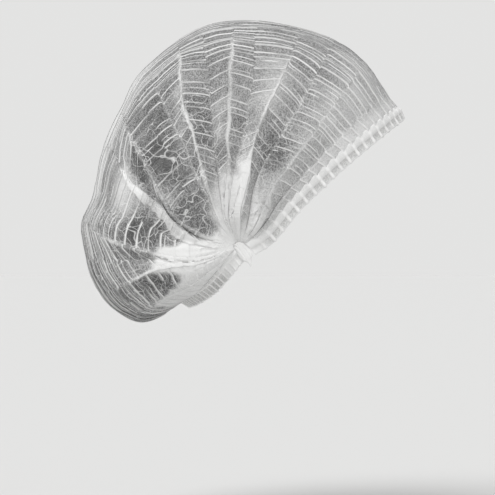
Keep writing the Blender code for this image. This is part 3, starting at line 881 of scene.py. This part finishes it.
def nonwoven(name, sheer, thin_colour, thick_colour, lit, mottle=1.0, cells=False):
    """Spunbond: a web of fine fibres laid at random, thin and uneven where single, opaque where bunched."""
    n = Nodes(name)
    place = n.add("ShaderNodeTexCoord").outputs["Object"]

    def fibres(scale, stretch, turn, width, bent=1.6):
        bend = n.add("ShaderNodeTexNoise", in_Scale=scale * 0.35, in_Detail=2.0)
        n.link(place, bend.inputs["Vector"])
        shift = n.add("ShaderNodeVectorMath", operation="MULTIPLY_ADD")
        n.link(bend.outputs["Color"], shift.inputs[0])
        shift.inputs[1].default_value = (bent / scale,) * 3
        n.link(place, shift.inputs[2])
        mapping = n.add("ShaderNodeMapping")
        mapping.inputs["Rotation"].default_value = turn
        mapping.inputs["Scale"].default_value = stretch
        n.link(shift.outputs[0], mapping.inputs["Vector"])
        web = n.add("ShaderNodeTexVoronoi", feature="DISTANCE_TO_EDGE", in_Scale=scale)
        n.link(mapping.outputs[0], web.inputs["Vector"])
        return n.ramp(web.outputs["Distance"], 0.0, width, 1.0, 0.0)

    web_a = fibres(720.0, (1.0, 1.0, 0.45), (0.4, 0.7, 0.2), 0.13)
    web_b = fibres(1050.0, (0.5, 1.0, 1.0), (0.9, -0.5, 1.1), 0.12)
    web = n.math("MAXIMUM", web_a, n.math("MULTIPLY", web_b, 0.8))
    cloud = n.add("ShaderNodeTexNoise", in_Scale=900.0, in_Detail=3.0, in_Roughness=0.65)
    n.link(place, cloud.inputs["Vector"])
    patch = n.add("ShaderNodeTexNoise", in_Scale=85.0, in_Detail=3.0, in_Roughness=0.55)
    n.link(place, patch.inputs["Vector"])
    clump = n.ramp(cloud.outputs["Fac"], 0.38, 0.64)
    fibre = n.math("ADD", n.math("MULTIPLY", web, 0.45), n.math("MULTIPLY", clump, 0.55))
    uneven = n.ramp(patch.outputs["Fac"], 0.3, 0.7, -0.12, 0.12)

    crease, spoke, mass = (n.attribute(a) for a in ("crease", "spoke", "mass"))
    if cells:
        fold = n.attribute("fold")
        sharp = n.math("ADD", n.math("MULTIPLY", n.ramp(fold, 0.36, 0.84), 0.74), n.math("MULTIPLY", fold, 0.26))
        crease = n.math("MULTIPLY", crease, sharp, clamp=True)
    # haze: the crown's lighter patches, partly double cloth and partly painted highlight and painted light
    haze_and_painted_light = n.attribute("haze")
    thin = n.math("SUBTRACT", 1.0, crease)
    thin = n.math("MULTIPLY", thin, n.math("SUBTRACT", 1.0, spoke), clamp=True)
    thin = n.math("MULTIPLY", thin, n.math("SUBTRACT", 1.0, n.math("MULTIPLY", mass, 0.97)), clamp=True)
    cover = n.math("ADD", n.math("MULTIPLY", fibre, 0.60 * mottle), sheer)
    cover = n.math("ADD", n.math("ADD", cover, uneven), n.math("MULTIPLY", haze_and_painted_light, 0.35))
    height = n.math("MULTIPLY", fibre, 0.3)
    if cells:
        # each field between creases and folds has its own haze, and some have a second, finer crease
        rank, sector = n.attribute("rank"), n.attribute("sector")
        here = n.add("ShaderNodeCombineXYZ")
        n.link(n.math("FLOOR", rank), here.inputs[0])
        n.link(n.math("FLOOR", sector), here.inputs[1])
        chance = n.add("ShaderNodeTexWhiteNoise", noise_dimensions="3D")
        n.link(here.outputs[0], chance.inputs["Vector"])
        parts = n.add("ShaderNodeSeparateColor")
        n.link(chance.outputs["Color"], parts.inputs[0])
        outer = n.attribute("outer")
        calm = n.math("SUBTRACT", 1.0, n.math("MULTIPLY", outer, 0.7))
        haze = n.math("MULTIPLY", n.ramp(parts.outputs[0], 0.0, 1.0, -0.10, 0.13), calm)
        haze_and_painted_light = n.math("ADD", haze_and_painted_light, haze)
        second = n.ramp(parts.outputs[1], 0.0, 1.0, 0.24, 0.76)
        slim = n.math("SUBTRACT", 1.0, n.math("MULTIPLY", outer, 0.4))
        off = n.math("MULTIPLY", n.math("ABSOLUTE", n.math("SUBTRACT", n.math("FRACT", rank), second)), slim)
        line = n.ramp(off, 0.018, 0.060, 1.0, 0.0)
        some = n.math("GREATER_THAN", n.math("ADD", parts.outputs[2], outer), 0.58)
        smudge = n.add("ShaderNodeTexNoise", in_Scale=60.0, in_Detail=1.0)
        n.link(place, smudge.inputs["Vector"])
        fade = n.ramp(n.math("ADD", smudge.outputs["Fac"], n.math("MULTIPLY", outer, 0.15)), 0.40, 0.58)
        third = n.math("FRACT", n.math("ADD", second, n.ramp(parts.outputs[0], 0.0, 1.0, 0.25, 0.45)))
        off_third = n.math("MULTIPLY", n.math("ABSOLUTE", n.math("SUBTRACT", n.math("FRACT", rank), third)), slim)
        line_third = n.math("MULTIPLY", n.ramp(off_third, 0.012, 0.045, 0.9, 0.0), outer)
        line = n.math("MULTIPLY", n.math("MAXIMUM", n.math("MULTIPLY", line, some), line_third), fade)
        line = n.math("MULTIPLY", line, n.attribute("open"))
        line = n.math("MULTIPLY", line, n.math("SUBTRACT", 1.0, n.attribute("veil"), clamp=True))
        thin = n.math("MULTIPLY", thin, n.math("SUBTRACT", 1.0, n.math("MULTIPLY", line, 0.82)), clamp=True)
        # chance wrinkles, where the cloth is crumpled
        mask = n.add("ShaderNodeTexNoise", in_Scale=34.0, in_Detail=2.0)
        n.link(place, mask.inputs["Vector"])
        large = n.math("MULTIPLY", fibres(80.0, (1.0, 1.0, 1.0), (0.3, 0.2, 0.9), 0.034, 4.0), n.ramp(mask.outputs["Fac"], 0.40, 0.54))
        small = n.math("MULTIPLY", fibres(230.0, (1.0, 1.0, 0.7), (1.3, 0.2, 0.5), 0.055, 4.0), n.ramp(mask.outputs["Fac"], 0.58, 0.44))
        wrinkle = n.math("MULTIPLY", n.math("MAXIMUM", large, n.math("MULTIPLY", small, 0.7)), n.attribute("crackle"))
        thin = n.math("MULTIPLY", thin, n.math("SUBTRACT", 1.0, n.math("MULTIPLY", wrinkle, 0.70)), clamp=True)
        height = n.math("ADD", height, n.math("MULTIPLY", n.math("MAXIMUM", line, wrinkle), 0.6))
    layers = n.math("SUBTRACT", 1.0, thin, clamp=True)
    alpha = n.math("ADD", cover, n.math("MULTIPLY", layers, n.math("SUBTRACT", 1.0, cover)), clamp=True)

    # haze lightens the single cloth towards the thick tone, partly as painted light, and below 0 darkens its fibres
    bare = n.math("MINIMUM", haze_and_painted_light, 0.0)
    single = n.mix(n.ramp(n.math("ADD", fibre, bare), 0.12, 0.80), thin_colour, tuple(min(1.0, v * lit) for v in thin_colour))
    single = n.mix(n.math("MULTIPLY", haze_and_painted_light, 0.95, clamp=True), single, tuple(v * 0.96 for v in thick_colour))
    colour = n.mix(layers, single, thick_colour)

    bump = n.add("ShaderNodeBump", in_Strength=0.5, in_Distance=0.0005)
    n.link(height, bump.inputs["Height"])
    rough = n.ramp(fibre, 0.0, 1.0, 0.82, 0.62)
    shader = n.add("ShaderNodeBsdfPrincipled")
    shader.inputs["Metallic"].default_value = 0.0
    shader.inputs["Specular IOR Level"].default_value = 0.25
    shader.inputs["Sheen Weight"].default_value = 0.10
    shader.inputs["Sheen Roughness"].default_value = 0.5
    n.link(colour, shader.inputs["Base Color"])
    n.link(rough, shader.inputs["Roughness"])
    n.link(alpha, shader.inputs["Alpha"])
    n.link(bump.outputs[0], shader.inputs["Normal"])
    out = n.add("ShaderNodeOutputMaterial")
    n.link(shader.outputs[0], out.inputs["Surface"])
    return n.material


def elastic(name):
    """Flat covered elastic: fine cords along it under a knitted cover."""
    n = Nodes(name)
    place = n.add("ShaderNodeTexCoord").outputs["Object"]
    knit = n.add("ShaderNodeTexVoronoi", in_Scale=900.0)
    n.link(place, knit.inputs["Vector"])
    tone = n.add("ShaderNodeTexNoise", in_Scale=140.0, in_Detail=3.0)
    n.link(place, tone.inputs["Vector"])
    colour = n.mix(tone.outputs["Fac"], (0.86, 0.86, 0.85), (0.95, 0.95, 0.94))
    bump = n.add("ShaderNodeBump", in_Strength=0.5, in_Distance=0.0003)
    n.link(knit.outputs["Distance"], bump.inputs["Height"])
    shader = n.add("ShaderNodeBsdfPrincipled")
    shader.inputs["Specular IOR Level"].default_value = 0.3
    n.link(colour, shader.inputs["Base Color"])
    n.link(n.ramp(tone.outputs["Fac"], 0.2, 0.8, 0.55, 0.75), shader.inputs["Roughness"])
    n.link(bump.outputs[0], shader.inputs["Normal"])
    out = n.add("ShaderNodeOutputMaterial")
    n.link(shader.outputs[0], out.inputs["Surface"])
    return n.material


def backdrop_material():
    n = Nodes("backdrop_paper")
    shader = n.add("ShaderNodeBsdfPrincipled")
    shader.inputs["Base Color"].default_value = (PAPER, PAPER, 0.992 * PAPER, 1.0)
    shader.inputs["Roughness"].default_value = 0.9
    shader.inputs["Specular IOR Level"].default_value = 0.1
    out = n.add("ShaderNodeOutputMaterial")
    n.link(shader.outputs[0], out.inputs["Surface"])
    return n.material


def use(obj, material):
    obj.data.materials.clear()
    obj.data.materials.append(material)


CLOTH = nonwoven("spunbond", 0.64, (0.030, 0.030, 0.030), (0.765, 0.765, 0.76), 11.0, 0.60, cells=True)
HEM_CLOTH = nonwoven("spunbond_hem", 0.66, (0.54, 0.54, 0.535), (0.785, 0.785, 0.78), 1.3, 0.35)
WELD_CLOTH = nonwoven("spunbond_pressed", 0.6, (0.68, 0.68, 0.675), (0.71, 0.71, 0.705), 1.0, 0.3)
ELASTIC = elastic("elastic_tape")

crown = crown_cloth()
use(crown, CLOTH)
front = hem_cloth("front_hem_cloth", 0.0, 0.3)
use(front, HEM_CLOTH)
nape = hem_cloth("nape_hem_cloth", 1.0, 0.3)
use(nape, HEM_CLOTH)
weld_right = ear_weld("ear_weld_right_cloth", -1.0)
use(weld_right, WELD_CLOTH)
weld_left = ear_weld("ear_weld_left_cloth", 1.0)
use(weld_left, WELD_CLOTH)

for piece, node, slot in (
    (crown, "crown", "nonwoven"),
    (front, "front_hem", "hem_nonwoven"),
    (nape, "nape_hem", "hem_nonwoven"),
    (weld_right, "ear_weld_right", "weld"),
    (weld_left, "ear_weld_left", "weld"),
):
    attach(piece, "root")
    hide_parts(node)

for node in ("front_elastic", "nape_elastic"):
    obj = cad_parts[node]
    for s in obj.material_slots:
        s.material = ELASTIC

# ---------------------------------------------------------------------------------------------------------
# Floor, lights, camera
# ---------------------------------------------------------------------------------------------------------
FLOOR_Z = -0.24
FLOOR_SIZE = 120.0
PAPER = 0.593  # reflectance of the floor's paper
AMBIENT = 0.42
PALE = 0.77  # what the floor comes out at under these lights, and so the tone behind it


def floor():
    """Plain pale paper, out to the horizon."""
    half = FLOOR_SIZE / 2
    points = np.array([(-half, -half, FLOOR_Z), (half, -half, FLOOR_Z), (half, half, FLOOR_Z), (-half, half, FLOOR_Z)])
    obj = mesh_object("paper_floor", points, [np.array((0, 1, 2, 3))])
    use(obj, backdrop_material())


def soft_sun(name, place, strength, angle):
    """A wide soft light from the direction of the given place."""
    data = bpy.data.lights.new(name, "SUN")
    data.energy = strength
    data.angle = math.radians(angle)
    obj = bpy.data.objects.new(name, data)
    obj.location = place
    obj.rotation_euler = (-Vector(place)).to_track_quat("-Z", "Y").to_euler()
    bpy.context.scene.collection.objects.link(obj)


floor()
soft_sun("key", (-0.66, -1.1, 1.47), 2.1, 28.0)
soft_sun("fill", (1.54, -1.5, 0.60), 0.8, 40.0)
soft_sun("top", (0.24, 0.6, 1.65), 0.95, 36.0)
soft_sun("side", (-1.5, -0.3, 0.25), 0.7, 50.0)

bpy.context.scene.view_settings.view_transform = "Standard"
world = bpy.data.worlds.new("studio")
world.use_nodes = True
tree = world.node_tree
tree.nodes.clear()
seen = tree.nodes.new("ShaderNodeLightPath")
ambient = tree.nodes.new("ShaderNodeBackground")
ambient.inputs["Color"].default_value = (1.0, 1.0, 1.0, 1.0)
ambient.inputs["Strength"].default_value = AMBIENT
behind = tree.nodes.new("ShaderNodeBackground")
behind.inputs["Color"].default_value = (1.0, 1.0, 0.992, 1.0)
behind.inputs["Strength"].default_value = PALE
either = tree.nodes.new("ShaderNodeMixShader")
world_out = tree.nodes.new("ShaderNodeOutputWorld")
tree.links.new(seen.outputs["Is Camera Ray"], either.inputs[0])
tree.links.new(ambient.outputs[0], either.inputs[1])
tree.links.new(behind.outputs[0], either.inputs[2])
tree.links.new(either.outputs[0], world_out.inputs["Surface"])
bpy.context.scene.world = world

camera_data = bpy.data.cameras.new("camera")
camera_data.sensor_width = 36.0
camera_data.lens = 36.0 * 2.0 / 0.381
camera_data.clip_end = 20.0
camera = bpy.data.objects.new("camera", camera_data)
camera.location = (-0.0362, -2.0, -0.0262)
camera.rotation_euler = (math.pi / 2, 0.0, 0.0)
bpy.context.scene.collection.objects.link(camera)
bpy.context.scene.camera = camera
